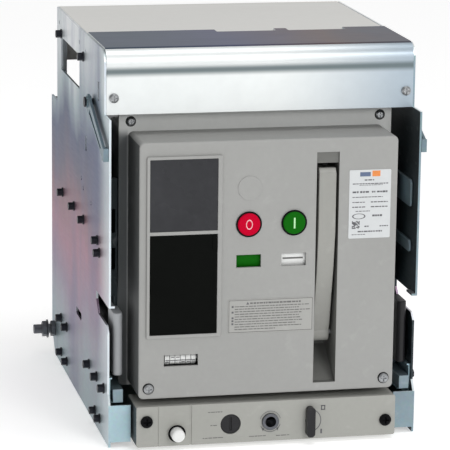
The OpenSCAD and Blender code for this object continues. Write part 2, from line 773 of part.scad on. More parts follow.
module relay_bezel() from_front() color("silver") sheet_y([cover_front - 2.5, cover_front]) difference() {
  rounded(bezel_x, bezel_z, 2);
  translate([window_x[0], lower_z[0]]) square([window_x[1] - window_x[0], lower_z[1] - lower_z[0]]);
  translate([window_x[0], upper_z[0]]) square([window_x[1] - window_x[0], upper_z[1] - upper_z[0]]);
}

module relay_window() from_front() color("darkslategray")
  block(window_x, [cover_front - 1.5, cover_front + 1], upper_z);

// Smoked door on pins at its left edge
module relay_door() from_front() color("black") {
  z = [lower_z[0] + 0.4, lower_z[1] - 0.4];
  block([door_axis[0], window_x[1] - 0.4], [door_axis[1] - 1.5, door_axis[1] + 1.5], z);
  rod_z(door_axis[0], door_axis[1], z, 1.5);
  block([window_x[1] - 6, window_x[1] - 0.4], [door_axis[1] - 2.6, door_axis[1] - 1.5], [236, 252]);
}

module push_button(at) {
  rod_y(at[0], [cover_front - 2.5, 2], at[1], button_r);
  translate([at[0], cover_front - 2.5, at[1]]) rotate([90, 0, 0])
    cylinder(h = 1, r1 = button_r, r2 = button_r - 1.5);
  rod_y(at[0], [2, 30], at[1], 4);
}

module off_button() from_front() color("firebrick") push_button(off_at);
module on_button() from_front() color("green") push_button(on_at);

// Drum sector behind its window; turns to show its other half
module flag_drum(x) {
  z = (flag_z[0] + flag_z[1]) / 2;
  translate([(x[0] + x[1]) / 2, flag_y, z]) rotate([0, 90, 0])
    difference() {
      cylinder(h = x[1] - x[0] + 4, r = flag_r, center = true);
      cylinder(h = x[1] - x[0] + 10, r = flag_r - 2.5, center = true);
      translate([-60, 0, -40]) cube([120, 60, 80]);
    }
  rod_x([x[0] - 4, x[1] + 4], flag_y, z, 2.5);
  block([x[0] + 8, x[0] + 11], [flag_y - flag_r + 1, flag_y], [z - 1.5, z + 1.5]);
}

module open_flag() from_front() color("green") flag_drum(open_flag_x);
module charge_flag() from_front() color("white") flag_drum(charge_flag_x);

module counter_wheels() from_front() color("white") {
  z = (counter_z[0] + counter_z[1]) / 2;
  rod_x([counter_x[0] - 2, counter_x[1] + 2], counter_y, z, 2);
  for (i = [0:5])
    rod_x([counter_x[0] + 2 + i * 6.2, counter_x[0] + 7.6 + i * 6.2], counter_y, z, 7.5);
}

// Rating label and instruction plate on the cover's face
module face_plates() from_front() color("ivory") {
  sheet_y([cover_front - 0.5, cover_front]) rounded([93.5, 143], [241.5, 322], 1.5);
  sheet_y([cover_front - 0.4, cover_front]) rounded([-47, 53.5], [134.5, 174.5], 1);
}

side_plate_left();
side_plate_right();
hood_front();
hood_top();
hood_screws();
rear_wall();
line_terminals();
load_terminals();
shutter_plates();
bottom_tray();
fixed_rails();
plate_bolts();
earth_stud();
base_bar();
base_bar_screws();
crank_sleeve();
screw_bearing();
control_terminals();
terminal_bracket();
latch_left();
latch_right();
latch_pivots();
sliding_rail_left();
sliding_rail_right();
racking_screw();
racking_nut();
position_drum();
release_button();
lock_lever();
pole_case();
front_frame();
front_cover();
cover_screws();
carrier_plate_left();
carrier_plate_right();
side_guards();
control_plug();
arc_chutes();
line_conductors();
load_conductors();
jaw_clusters();
current_transformers();
main_shaft();
moving_contacts();
drive_rods();
mechanism_frame();
camshaft();
closing_spring();
charging_handle();
handle_pin();
trip_relay();
relay_bezel();
relay_window();
relay_door();
off_button();
on_button();
open_flag();
charge_flag();
counter_wheels();
face_plates();
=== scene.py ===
"""Looks of the draw-out air circuit breaker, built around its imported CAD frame.

Metres, +Z up, front towards -Y. Values that end in * MM or / MM are millimetres.
"""

import json
import math
import random

import bmesh
import bpy
from mathutils import Matrix, Vector


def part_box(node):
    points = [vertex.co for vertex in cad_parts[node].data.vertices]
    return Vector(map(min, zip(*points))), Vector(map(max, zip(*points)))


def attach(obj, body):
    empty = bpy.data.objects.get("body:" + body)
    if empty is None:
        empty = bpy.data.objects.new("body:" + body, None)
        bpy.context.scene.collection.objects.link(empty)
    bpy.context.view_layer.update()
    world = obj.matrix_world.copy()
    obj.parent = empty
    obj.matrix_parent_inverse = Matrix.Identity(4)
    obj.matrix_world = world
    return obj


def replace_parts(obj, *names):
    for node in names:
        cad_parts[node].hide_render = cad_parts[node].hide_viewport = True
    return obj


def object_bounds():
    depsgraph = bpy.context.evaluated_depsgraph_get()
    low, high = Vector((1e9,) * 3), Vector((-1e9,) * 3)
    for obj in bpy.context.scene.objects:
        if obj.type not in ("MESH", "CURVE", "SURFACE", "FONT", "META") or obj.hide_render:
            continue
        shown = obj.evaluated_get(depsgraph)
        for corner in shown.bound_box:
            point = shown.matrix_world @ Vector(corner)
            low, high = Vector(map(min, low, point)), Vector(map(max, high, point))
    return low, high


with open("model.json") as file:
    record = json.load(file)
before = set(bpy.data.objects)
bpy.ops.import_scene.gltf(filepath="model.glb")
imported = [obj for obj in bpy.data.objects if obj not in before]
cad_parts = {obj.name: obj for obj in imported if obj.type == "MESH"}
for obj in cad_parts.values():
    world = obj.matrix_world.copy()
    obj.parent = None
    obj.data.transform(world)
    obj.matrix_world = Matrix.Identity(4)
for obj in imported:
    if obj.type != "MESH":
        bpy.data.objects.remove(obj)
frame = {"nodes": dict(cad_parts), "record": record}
cad_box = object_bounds()
NODES = frame["nodes"]
MM = 0.001
BODY_OF = {n: b for b, ns in frame["record"]["behaviour"]["bodies"].items() for n in ns}
SLOT_OF = {s["node"]: s["material_slot"] for s in frame["record"]["subparts"]}


# ---------------------------------------------------------------- camera, light and floor

CAMERA_AZIMUTH = math.radians(-12.29)
CAMERA_HEIGHT = math.radians(12.85)
CAMERA_ROLL = math.radians(0.7)
CAMERA_TARGET = Vector((-14.5, -50, 223)) * MM
CAMERA_DISTANCE = 3.234
CAMERA_LENS = 214.6
SENSOR_WIDTH = 36
FLOOR_SIZE = 9
FLOOR_GAP = 0.0005


def make_camera():
    side, rise = CAMERA_AZIMUTH, CAMERA_HEIGHT
    back = Vector((math.sin(side) * math.cos(rise), -math.cos(side) * math.cos(rise), math.sin(rise)))
    right = (-back).cross(Vector((0, 0, 1))).normalized()
    up = right.cross(-back)
    turn = Matrix.Rotation(CAMERA_ROLL, 3, back)
    right, up = turn @ right, turn @ up
    camera = bpy.data.objects.new("camera", bpy.data.cameras.new("camera"))
    camera.data.lens = CAMERA_LENS
    camera.data.sensor_width = SENSOR_WIDTH
    camera.matrix_world = Matrix.Translation(CAMERA_TARGET + back * CAMERA_DISTANCE) @ Matrix(
        (right, up, back)
    ).transposed().to_4x4()
    bpy.context.scene.collection.objects.link(camera)
    bpy.context.scene.camera = camera


def area_light(name, place, aim, size, power, colour=(1, 1, 1)):
    light = bpy.data.lights.new(name, "AREA")
    light.shape = "RECTANGLE"
    light.size, light.size_y = size
    light.energy = power
    light.color = colour
    obj = bpy.data.objects.new(name, light)
    obj.location = place
    obj.rotation_euler = (Vector(aim) - Vector(place)).to_track_quat("-Z", "Y").to_euler()
    bpy.context.scene.collection.objects.link(obj)


def level_ramp(tree, source, lowest, stops):
    """Grey level along one direction of the sky, which runs from lowest to 1."""
    spread = tree.nodes.new("ShaderNodeMapRange")
    spread.inputs["From Min"].default_value = lowest
    tree.links.new(source, spread.inputs["Value"])
    ramp = tree.nodes.new("ShaderNodeValToRGB")
    tree.links.new(spread.outputs[0], ramp.inputs["Fac"])
    ramp.color_ramp.elements[0].position, ramp.color_ramp.elements[1].position = 0.0, 1.0
    for place, _ in stops[1:-1]:
        ramp.color_ramp.elements.new(place)
    for element, (_, level) in zip(ramp.color_ramp.elements, stops):
        element.color = (level, level, level, 1)
    return ramp.outputs["Color"]


def make_studio():
    """A white tent: brightest at the front and right, dimmer to the left and overhead."""
    world = bpy.data.worlds.new("studio")
    bpy.context.scene.world = world
    world.use_nodes = True
    tree = world.node_tree
    background = tree.nodes["Background"]
    sky = tree.nodes.new("ShaderNodeTexCoord")
    split = tree.nodes.new("ShaderNodeSeparateXYZ")
    tree.links.new(sky.outputs["Generated"], split.inputs[0])
    upward = level_ramp(tree, split.outputs["Z"], 0.0, [(0.0, 1.0), (0.30, 1.0), (0.60, 0.75), (1.0, 0.62)])
    sideways_levels = [(0.0, 0.50), (0.35, 0.72), (0.60, 1.0), (1.0, 1.05)]
    sideways = level_ramp(tree, split.outputs["X"], -1.0, sideways_levels)
    both = tree.nodes.new("ShaderNodeMix")
    both.data_type, both.blend_type = "RGBA", "MULTIPLY"
    both.inputs["Factor"].default_value = 1.0
    tree.links.new(upward, both.inputs["A"])
    tree.links.new(sideways, both.inputs["B"])
    tree.links.new(both.outputs["Result"], background.inputs["Color"])
    background.inputs["Strength"].default_value = 0.85
    area_light("key", (0.8, -2.6, 1.25), (0, 0, 0.22), (0.8, 0.6), 17, (1, 0.995, 0.98))
    area_light("top", (0.2, -0.6, 2.6), (0, 0, 0.3), (1.4, 1.0), 14)
    bpy.context.scene.view_settings.view_transform = "Standard"


def make_floor():
    """A light table: white and faintly lit from below."""
    bm = bmesh.new()
    bmesh.ops.create_grid(bm, x_segments=8, y_segments=8, size=FLOOR_SIZE)
    mesh = bpy.data.meshes.new("floor")
    bm.to_mesh(mesh)
    bm.free()
    floor = bpy.data.objects.new("floor", mesh)
    floor.location.z = cad_box[0][2] - FLOOR_GAP
    bpy.context.scene.collection.objects.link(floor)
    white = (0.93, 0.93, 0.93)
    paint = Paint("studio_floor", white, 0.9, Emission_Color=(1, 1, 1, 1), Emission_Strength=0.42)
    paint.mottle(0.4, 0.01)
    mesh.materials.append(paint.done())


# ---------------------------------------------------------------- materials


class Paint:
    """A node material built up from one Principled shader."""

    def __init__(self, name, colour, rough, metal=0.0, **sockets):
        self.material = bpy.data.materials.new(name)
        self.material.use_nodes = True
        self.tree = self.material.node_tree
        self.shader = self.tree.nodes["Principled BSDF"]
        self.place = self.tree.nodes.new("ShaderNodeTexCoord").outputs["Object"]
        self.colour = self._rgb(colour)
        self.rough = self._value(rough)
        self.height = None
        self.shader.inputs["Metallic"].default_value = metal
        for socket, value in sockets.items():
            self.shader.inputs[socket.replace("_", " ")].default_value = value

    def _rgb(self, colour):
        node = self.tree.nodes.new("ShaderNodeRGB")
        node.outputs[0].default_value = (*colour, 1)
        return node.outputs[0]

    def _value(self, value):
        node = self.tree.nodes.new("ShaderNodeValue")
        node.outputs[0].default_value = value
        return node.outputs[0]

    def math(self, operation, a, b=0.0, clamp=False):
        node = self.tree.nodes.new("ShaderNodeMath")
        node.operation = operation
        node.use_clamp = clamp
        for socket, value in zip(node.inputs, (a, b)):
            if isinstance(value, (int, float)):
                socket.default_value = value
            else:
                self.tree.links.new(value, socket)
        return node.outputs[0]

    def stretched(self, stretch):
        """The object's own coordinates, scaled along each axis."""
        mapping = self.tree.nodes.new("ShaderNodeMapping")
        mapping.inputs["Scale"].default_value = stretch
        self.tree.links.new(self.place, mapping.inputs["Vector"])
        return mapping.outputs[0]

    def noise(self, scale, detail=3.0, stretch=(1, 1, 1), distortion=0.0):
        node = self.tree.nodes.new("ShaderNodeTexNoise")
        node.inputs["Scale"].default_value = scale
        node.inputs["Detail"].default_value = detail
        node.inputs["Roughness"].default_value = 0.55
        node.inputs["Distortion"].default_value = distortion
        self.tree.links.new(self.stretched(stretch), node.inputs["Vector"])
        return node.outputs["Fac"]

    def cells(self, scale):
        node = self.tree.nodes.new("ShaderNodeTexVoronoi")
        node.inputs["Scale"].default_value = scale
        self.tree.links.new(self.stretched((1, 1, 1)), node.inputs["Vector"])
        return node.outputs["Color"]

    def band(self, axis, low, high):
        """0 at low and before it, 1 at high and past it, along an axis of the object, in metres."""
        split = self.tree.nodes.new("ShaderNodeSeparateXYZ")
        self.tree.links.new(self.place, split.inputs[0])
        node = self.tree.nodes.new("ShaderNodeMapRange")
        node.interpolation_type = "SMOOTHSTEP"
        node.inputs["From Min"].default_value = low
        node.inputs["From Max"].default_value = high
        self.tree.links.new(split.outputs["XYZ".index(axis)], node.inputs["Value"])
        return node.outputs[0]

    def ramp(self, fac, stops):
        node = self.tree.nodes.new("ShaderNodeValToRGB")
        self.tree.links.new(fac, node.inputs["Fac"])
        elements = node.color_ramp.elements
        elements[0].position, elements[1].position = stops[0][0], stops[-1][0]
        for place, _ in stops[1:-1]:
            elements.new(place)
        for element, (_, colour) in zip(elements, stops):
            element.color = (*colour, 1)
        return node.outputs["Color"]

    def mix(self, colour, fac, kind="MIX"):
        """Lays a colour, or another node's colour, over the paint."""
        node = self.tree.nodes.new("ShaderNodeMix")
        node.data_type = "RGBA"
        node.blend_type = kind
        if isinstance(fac, (int, float)):
            node.inputs["Factor"].default_value = fac
        else:
            self.tree.links.new(fac, node.inputs["Factor"])
        self.tree.links.new(self.colour, node.inputs["A"])
        if isinstance(colour, tuple):
            node.inputs["B"].default_value = (*colour, 1)
        else:
            self.tree.links.new(colour, node.inputs["B"])
        self.colour = node.outputs["Result"]
        return self

    def above(self, fac, level, gain):
        """0 where a noise is under a level, and rising above it."""
        return self.math("MULTIPLY", self.math("SUBTRACT", fac, level, True), gain, True)

    def swayed(self, fac, noise, amount):
        """A band whose edges wander with a noise."""
        return self.math("ADD", fac, self.math("MULTIPLY", self.math("SUBTRACT", noise, 0.5), amount))

    def mottle(self, scale, share, detail=4.0):
        """Cloudy light and dark variation of the colour."""
        cloud = self.noise(scale, detail)
        self.mix(self.ramp(cloud, [(0.25, (1 - share,) * 3), (0.75, (1 + share,) * 3)]), 1.0, "MULTIPLY")
        return self

    def rough_by(self, fac, low, high):
        span = self.math("MULTIPLY", fac, high - low)
        self.rough = self.math("ADD", span, low)
        return self

    def bump(self, fac, depth):
        """Adds a relief of that depth, in metres."""
        step = self.math("MULTIPLY", fac, depth)
        self.height = step if self.height is None else self.math("ADD", self.height, step)
        return self

    def rubbed(self, colour, strength):
        """Small patches worn paler by handling."""
        patchy = self.math("SUBTRACT", self.noise(60, 5, (1, 1, 1), 0.3), 0.60, True)
        self.mix(colour, self.math("MULTIPLY", patchy, 1.6 * strength, True))
        return self

    def done(self):
        links = self.tree.links
        links.new(self.colour, self.shader.inputs["Base Color"])
        links.new(self.rough, self.shader.inputs["Roughness"])
        if self.height is not None:
            bump = self.tree.nodes.new("ShaderNodeBump")
            bump.inputs["Distance"].default_value = 1.0
            links.new(self.height, bump.inputs["Height"])
            links.new(bump.outputs[0], self.shader.inputs["Normal"])
        return self.material


def moulded(name, colour, rough=0.5, grain=0.00003, wear=(0.8, 0.8, 0.78), shine=0.3):
    """Moulded plastic: fine spark-eroded grain, faint flow clouds, paler rubbed patches."""
    paint = Paint(name, colour, rough, Specular_IOR_Level=shine)
    paint.mottle(7, 0.035).mottle(160, 0.02)
    if wear:
        paint.rubbed(wear, 0.25)
    paint.rough_by(paint.noise(45, 4), rough - 0.06, rough + 0.10)
    paint.bump(paint.noise(2400, 2), grain).bump(paint.noise(30, 2), grain)
    return paint.done()


def zinc_plate(name, tints, rough=0.3, metal=0.75):
    """Passivated zinc plate: soft iridescent clouds, spangle, rolling lines and handling scuffs."""
    paint = Paint(name, tints[0], rough, metal)
    cloud = paint.noise(4.0, 2.5, (1, 1, 1), 0.6)
    paint.colour = paint.ramp(cloud, list(zip((0.2, 0.5, 0.8), tints)))
    paint.mottle(55, 0.05, 3)
    paint.mix(paint.cells(260), 0.035, "OVERLAY")
    lines = paint.noise(30, 6, (1, 1, 40))
    paint.rough_by(lines, rough - 0.08, rough + 0.14)
    paint.bump(lines, 0.00001).bump(paint.noise(12, 2), 0.0004)
    paint.rubbed((0.9, 0.92, 0.95), 0.4)
    return paint.done()


def turned_steel(name, colour, rough=0.28, grime=(0.10, 0.09, 0.08)):
    """Machined or plated steel with fine turning marks and a little grime."""
    paint = Paint(name, colour, rough, 1.0)
    paint.mottle(120, 0.08)
    paint.mix(grime, paint.above(paint.noise(70, 5), 0.62, 2.2))
    paint.rough_by(paint.noise(500, 3, (1, 6, 1)), rough - 0.06, rough + 0.12)
    paint.bump(paint.noise(900, 2, (1, 8, 1)), 0.000015)
    paint.rubbed((0.85, 0.86, 0.88), 0.3)
    return paint.done()


def printed(name, colour):
    """Screen-printed ink: slightly uneven coverage."""
    paint = Paint(name, colour, 0.55)
    paint.mottle(900, 0.12).mottle(90, 0.06)
    paint.bump(paint.noise(1800, 2), 0.000008)
    return paint.done()


def side_zinc():
    """The side plates' passivate: pale at the top, then slate blue and rose, and pale again at the foot."""
    paint = Paint("zinc_side", (0.6, 0.66, 0.72), 0.34, 0.85, Specular_Tint=(0.56, 0.54, 0.56, 1))
    cloud = paint.noise(3.2, 3, (1, 1, 0.6), 0.8)
    along = paint.swayed(paint.band("Z", 0.0, 0.46), cloud, 0.55)
    paint.colour = paint.ramp(along, [
        (0.00, (0.44, 0.54, 0.56)), (0.18, (0.38, 0.31, 0.40)), (0.33, (0.46, 0.27, 0.34)),
        (0.50, (0.34, 0.22, 0.25)), (0.64, (0.18, 0.18, 0.24)), (0.76, (0.13, 0.165, 0.25)),
        (0.87, (0.46, 0.56, 0.58)), (1.00, (0.95, 1.0, 1.0)),
    ])
    blue = paint.noise(9, 2, (1, 1.6, 0.35), 0.4)
    paint.mix((0.16, 0.20, 0.33), paint.above(blue, 0.50, 2.4))
    front = paint.band("Y", -0.120, -0.205)
    paint.mix((0.86, 0.96, 0.98), paint.math("MULTIPLY", front, 0.7))
    paint.mottle(55, 0.05, 3)
    paint.mix(paint.cells(240), 0.03, "OVERLAY")
    lines = paint.noise(26, 6, (1, 1, 30))
    paint.rough_by(lines, 0.28, 0.46)
    paint.bump(lines, 0.00001).bump(paint.noise(11, 2), 0.0004)
    paint.rubbed((0.85, 0.9, 0.95), 0.15)
    return paint.done()


def hood_galvanised():
    """Bright sheet, cooler towards its right end, with painted shade along its pressed groove."""
    paint = Paint("hood_galvanised", (0.76, 0.79, 0.79), 0.3, 0.6)
    right = paint.band("X", 0.0, 0.20)
    paint.mix((0.26, 0.34, 0.42), paint.math("MULTIPLY", right, 0.8))
    # painted shade: the pressed groove darkened almost to black
    groove_shade = paint.math("MULTIPLY", paint.band("Z", 0.426, 0.4335), paint.band("Z", 0.4415, 0.4345))
    paint.mix((0.12, 0.155, 0.165), paint.math("MULTIPLY", groove_shade, 0.95))
    paint.mottle(5, 0.03).mottle(60, 0.025)
    lines = paint.noise(24, 6, (0.4, 1, 30))
    paint.rough_by(lines, 0.34, 0.52)
    paint.bump(lines, 0.00001).bump(paint.noise(7, 2), 0.0003)
    return paint.done()


def hood_top_shade():
    """Painted shade on the same sheet's up-facing top: slate blue to violet, browner to the right."""
    paint = Paint("hood_top_shade", (0.12, 0.14, 0.22), 0.42, 0.9)
    cloud = paint.noise(6, 3, (1, 1, 1), 0.7)
    along = paint.swayed(paint.band("X", -0.19, 0.19), cloud, 0.35)
    paint.colour = paint.ramp(along, [
        (0.0, (0.036, 0.066, 0.105)), (0.35, (0.058, 0.068, 0.15)), (0.6, (0.085, 0.070, 0.115)),
        (0.85, (0.120, 0.078, 0.078)), (1.0, (0.055, 0.065, 0.10)),
    ])
    paint.mottle(50, 0.06)
    lines = paint.noise(24, 6, (0.4, 30, 1))
    paint.rough_by(lines, 0.34, 0.5)
    paint.bump(lines, 0.00001)
    return paint.done()


def painted_sheet():
    """Pale powder coat with orange peel."""
    paint = Paint("painted_sheet", (0.67, 0.665, 0.64), 0.45)
    paint.mottle(4, 0.02).mottle(90, 0.015)
    paint.bump(paint.noise(700, 2), 0.00002).bump(paint.noise(14, 2), 0.0002)
    paint.rubbed((0.8, 0.8, 0.78), 0.3)
    return paint.done()


def smoked_glass(name, colour, rough, shine=0.12):
    """Tinted window: glossy film over a dark, faintly cloudy ground, with dust specks."""
    paint = Paint(name, colour, rough, Specular_IOR_Level=shine)
    paint.mottle(14, 0.18).mottle(120, 0.08)
    paint.mix((0.10, 0.10, 0.10), paint.above(paint.noise(1500, 1), 0.74, 1.0))
    paint.rough_by(paint.noise(30, 3), rough - 0.05, rough + 0.1)
    paint.bump(paint.noise(9, 2), 0.0002)
    return paint.done()


def plated_copper():
    """Silver-plated copper, tarnished in patches."""
    paint = Paint("copper", (0.80, 0.74, 0.66), 0.3, 1.0)
    tarnish = paint.noise(38, 5, (1, 1, 1), 0.5)
    paint.mix((0.32, 0.20, 0.11), paint.above(tarnish, 0.5, 1.8))
    paint.mottle(200, 0.06)
    brushed = paint.noise(60, 5, (40, 1, 1))
    paint.rough_by(brushed, 0.22, 0.46)
    paint.bump(brushed, 0.000012)
    return paint.done()


def frame_moulding():
    """The front frame's moulding, darker at its left end, which lies in the hood's shade."""
    paint = Paint("frame_moulding", (0.60, 0.61, 0.60), 0.42, Specular_IOR_Level=0.3)
    end = paint.math("MULTIPLY", paint.band("X", -0.1495, -0.1535), paint.band("Z", 0.366, 0.352))
    paint.mix((0.10, 0.11, 0.115), paint.math("MULTIPLY", end, 0.92))
    paint.mottle(7, 0.035).mottle(160, 0.02)
    paint.rough_by(paint.noise(45, 4), 0.36, 0.52)
    paint.bump(paint.noise(2400, 2), 0.00003).bump(paint.noise(30, 2), 0.00003)
    return paint.done()


# The finishes. Each row holds a name and what its function takes after the name.
MOULDINGS = {
    "cover_grey": ((0.335, 0.337, 0.328), 0.42),
    "bar_grey": ((0.355, 0.357, 0.333), 0.45),
    # painted shade for the left sides of the cover and of the base bar
    "side_grey": ((0.115, 0.12, 0.12), 0.45, 0.00003, (0.8, 0.8, 0.78), 0.15),
    "bar_side": ((0.06, 0.075, 0.08), 0.45, 0.00003, (0.8, 0.8, 0.78), 0.15),
    # black of the base bar's screws, and of the painted shade round the screws and buttons
    "gasket_black": ((0.006, 0.006, 0.007), 0.6, 0.00003, None, 0.05),
    "case_dark": ((0.045, 0.047, 0.05), 0.5, 0.00003, (0.2, 0.2, 0.2)),
    "wall_dark": ((0.055, 0.057, 0.06), 0.55, 0.00003, (0.2, 0.2, 0.2)),
    "black_plastic": ((0.012, 0.012, 0.014), 0.32, 0.00003, (0.15, 0.15, 0.15)),
    "red_plastic": ((0.52, 0.001, 0.024), 0.40, 0.00001, None, 0.03),
    "green_plastic": ((0.006, 0.12, 0.005), 0.40, 0.00001, None, 0.03),
    "white_plastic": ((0.80, 0.81, 0.80), 0.35, 0.00001),
    "handle_grey": ((0.315, 0.315, 0.295), 0.36),
    "guard_grey": ((0.36, 0.375, 0.39), 0.38),
    "ivory_board": ((0.62, 0.58, 0.42), 0.55),
    "green_plastic_block": ((0.05, 0.11, 0.06), 0.45),
    "label_card": ((0.62, 0.64, 0.65), 0.4, 0.000005),
    "plate_film": ((0.375, 0.375, 0.36), 0.36, 0.000005),
    # painted shade inside the handle's recess
    "recess_grey": ((0.155, 0.157, 0.148), 0.5),
}
ZINC_PLATES = {  # three colours that the clouds run through come first
    "zinc": ([(0.56, 0.62, 0.68), (0.68, 0.72, 0.76), (0.58, 0.60, 0.72)],),
    "zinc_teal": ([(0.22, 0.36, 0.40), (0.40, 0.55, 0.60), (0.26, 0.38, 0.46)],),
    "zinc_shade": ([(0.010, 0.018, 0.022), (0.022, 0.034, 0.040), (0.012, 0.018, 0.028)], 0.5, 0.4),
    "zinc_edge": ([(0.50, 0.58, 0.64), (0.70, 0.76, 0.80), (0.55, 0.60, 0.70)],),
    "zinc_mid": ([(0.16, 0.24, 0.27), (0.24, 0.32, 0.36), (0.20, 0.24, 0.28)], 0.4),
    "zinc_dim": ([(0.10, 0.15, 0.18), (0.20, 0.27, 0.31), (0.13, 0.17, 0.22)], 0.4),
}
STEELS = {
    "steel": ((0.62, 0.63, 0.65),),
    "dark_steel": ((0.13, 0.135, 0.15), 0.38),
    "screw_steel": ((0.34, 0.35, 0.36), 0.3, (0.03, 0.03, 0.03)),
    "black_oxide": ((0.035, 0.037, 0.045), 0.42, (0.01, 0.01, 0.01)),
    "spring_steel": ((0.42, 0.43, 0.45), 0.3),
}
WINDOWS = {
    "smoked": ((0.038, 0.039, 0.043), 0.25),
    "smoked_door": ((0.0035, 0.004, 0.0035), 0.30, 0.03),
}
INKS = {
    "ink": ((0.10, 0.10, 0.11),),
    "faint_ink": ((0.13, 0.13, 0.127),),
    "blue_ink": ((0.10, 0.14, 0.24),),
    "orange_ink": ((0.75, 0.25, 0.06),),
    "red_symbol": ((0.85, 0.46, 0.50),),
    "green_symbol": ((0.45, 0.80, 0.42),),
}
MATERIALS = {
    "side_zinc": side_zinc(),
    "hood_steel": hood_galvanised(),
    "hood_strip": hood_top_shade(),
    "hood_paint": painted_sheet(),
    "frame_grey": frame_moulding(),
    "copper": plated_copper(),
}
for make, rows in (
    (moulded, MOULDINGS), (zinc_plate, ZINC_PLATES), (turned_steel, STEELS), (smoked_glass, WINDOWS),
    (printed, INKS),
):
    for finish_name, values in rows.items():
        MATERIALS[finish_name] = make(finish_name, *values)


# ---------------------------------------------------------------- shared mesh code

SMOOTH_BELOW = math.radians(34)
FLAT_BELOW = math.radians(0.7)


def shade_smooth_curves(bm):
    """Smooth shading where a face runs on into a curve; flat faces keep their exact normals."""
    for face in bm.faces:
        turns = [e.calc_face_angle(0.0) for e in face.edges]
        face.smooth = any(FLAT_BELOW < abs(turn) < SMOOTH_BELOW for turn in turns)


def skin(bm, rings):
    """Joins neighbouring rings of vertices with faces."""
    for a, b in zip(rings, rings[1:]):
        for k in range(len(a)):
            j = (k + 1) % len(a)
            bm.faces.new((a[k], a[j], b[j], b[k]))


def closed_mesh(name, bm):
    """The mesh of a new closed solid, its faces turned outwards."""
    bmesh.ops.recalc_face_normals(bm, faces=bm.faces)
    mesh = bpy.data.meshes.new(name)
    bm.to_mesh(mesh)
    bm.free()
    return mesh


def front_of(node):
    """Depth of a node's front, in millimetres."""
    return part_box(node)[0].y / MM


def middle(node):
    """Centre of a node across and in height, in millimetres."""
    low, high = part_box(node)
    return (low.x + high.x) / 2 / MM, (low.z + high.z) / 2 / MM


# ---------------------------------------------------------------- CAD nodes with softened edges

WELD = 0.000005
FLAT_FACES = math.radians(0.6)


def clean_mesh(node):
    """A copy of a CAD node's mesh with its facets welded and its flat faces joined up."""
    bm = bmesh.new()
    bm.from_mesh(NODES[node].data)
    bmesh.ops.remove_doubles(bm, verts=bm.verts, dist=WELD)
    bmesh.ops.dissolve_limit(bm, angle_limit=FLAT_FACES, verts=bm.verts, edges=bm.edges)
    bmesh.ops.recalc_face_normals(bm, faces=bm.faces)
    mesh = bpy.data.meshes.new(node + "_finish")
    for f in bm.faces:
        f.material_index = 0
    shade_smooth_curves(bm)
    bm.to_mesh(mesh)
    bm.free()
    for name in [a.name for a in mesh.attributes if "normal" in a.name.lower()]:
        mesh.attributes.remove(mesh.attributes[name])
    mesh.materials.clear()
    return mesh


def add_piece(name, mesh, body, material):
    obj = bpy.data.objects.new(name, mesh)
    bpy.context.scene.collection.objects.link(obj)
    mesh.materials.append(MATERIALS[material])
    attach(obj, body)
    return obj


def soften(obj, width, segments=2):
    """Rounds the piece's sharp edges and smooths what is left."""
    bevel = obj.modifiers.new("rounded_edges", "BEVEL")
    bevel.width = width * MM
    bevel.segments = segments
    bevel.limit_method = "ANGLE"
    bevel.angle_limit = SMOOTH_BELOW
    bevel.use_clamp_overlap = True
    obj.data.set_sharp_from_angle(angle=SMOOTH_BELOW)
    even = obj.modifiers.new("even_normals", "WEIGHTED_NORMAL")
    even.keep_sharp = True


def finished(node, material=None, width=0.4, segments=2):
    """A CAD node shown with rounded edges and its real finish."""
    slot = SLOT_OF[node]
    obj = add_piece(node + "_finish", clean_mesh(node), BODY_OF[node], material or slot)
    soften(obj, width, segments)
    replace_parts(obj, node)
    return obj


# Edge radius of each CAD node, in millimetres, and a finish where it isn't its slot's
FINISHES = {
    "hood_top": (0.5, None), "rear_wall": (1.0, None), "hood_screws": (0.3, "screw_steel"),
    "line_terminals": (0.8, None), "load_terminals": (0.8, None), "shutter_plates": (0.4, None),
    "bottom_tray": (0.5, "zinc_teal"), "fixed_rails": (0.4, "zinc_teal"),
    "plate_bolts": (0.4, "black_oxide"), "base_bar_screws": (0.3, "gasket_black"),
    "crank_sleeve": (0.4, "dark_steel"),
    "screw_bearing": (0.8, None), "control_terminals": (0.4, None), "terminal_bracket": (0.4, None),
    "latch_left": (0.4, "zinc_dim"), "latch_right": (0.4, "zinc_dim"), "latch_pivots": (0.4, "black_oxide"),
    "sliding_rail_left": (0.6, "zinc_mid"), "sliding_rail_right": (0.6, "zinc_mid"),
    "racking_nut": (0.6, None), "position_drum": (0.5, None), "release_button": (0.8, None),
    "lock_lever": (1.2, None), "pole_case": (1.0, None), "front_frame": (1.5, None),
    "cover_screws": (0.3, "screw_steel"), "carrier_plate_left": (0.4, "zinc_shade"),
    "carrier_plate_right": (0.4, "zinc_mid"), "control_plug": (0.6, None),
    "arc_chutes": (0.3, None), "line_conductors": (0.6, None), "load_conductors": (0.6, None),
    "jaw_clusters": (0.4, None), "current_transformers": (1.0, None), "main_shaft": (0.5, None),
    "moving_contacts": (0.3, None), "drive_rods": (0.5, None), "mechanism_frame": (0.5, None),
    "camshaft": (0.3, None), "handle_pin": (0.3, None), "trip_relay": (0.5, None),
    "relay_bezel": (0.5, None), "relay_window": (0.4, None), "relay_door": (0.4, "smoked_door"),
    "off_button": (0.4, None), "on_button": (0.4, None), "open_flag": (0.2, None),
    "charge_flag": (0.2, None), "counter_wheels": (0.4, None), "earth_stud": (0.3, None),
    "charging_handle": (2.2, None),
}


# ---------------------------------------------------------------- pieces with more than one finish

# a normal's share along an axis from which a face counts as facing that way
FACING = 0.9


def repaint(obj, material, test):
    """Gives another finish to the faces whose centre, in millimetres, and normal pass a test."""
    mesh = obj.data
    mesh.materials.append(MATERIALS[material])
    index = len(mesh.materials) - 1
    for face in mesh.polygons:
        if test(face.center / MM, face.normal):
            face.material_index = index


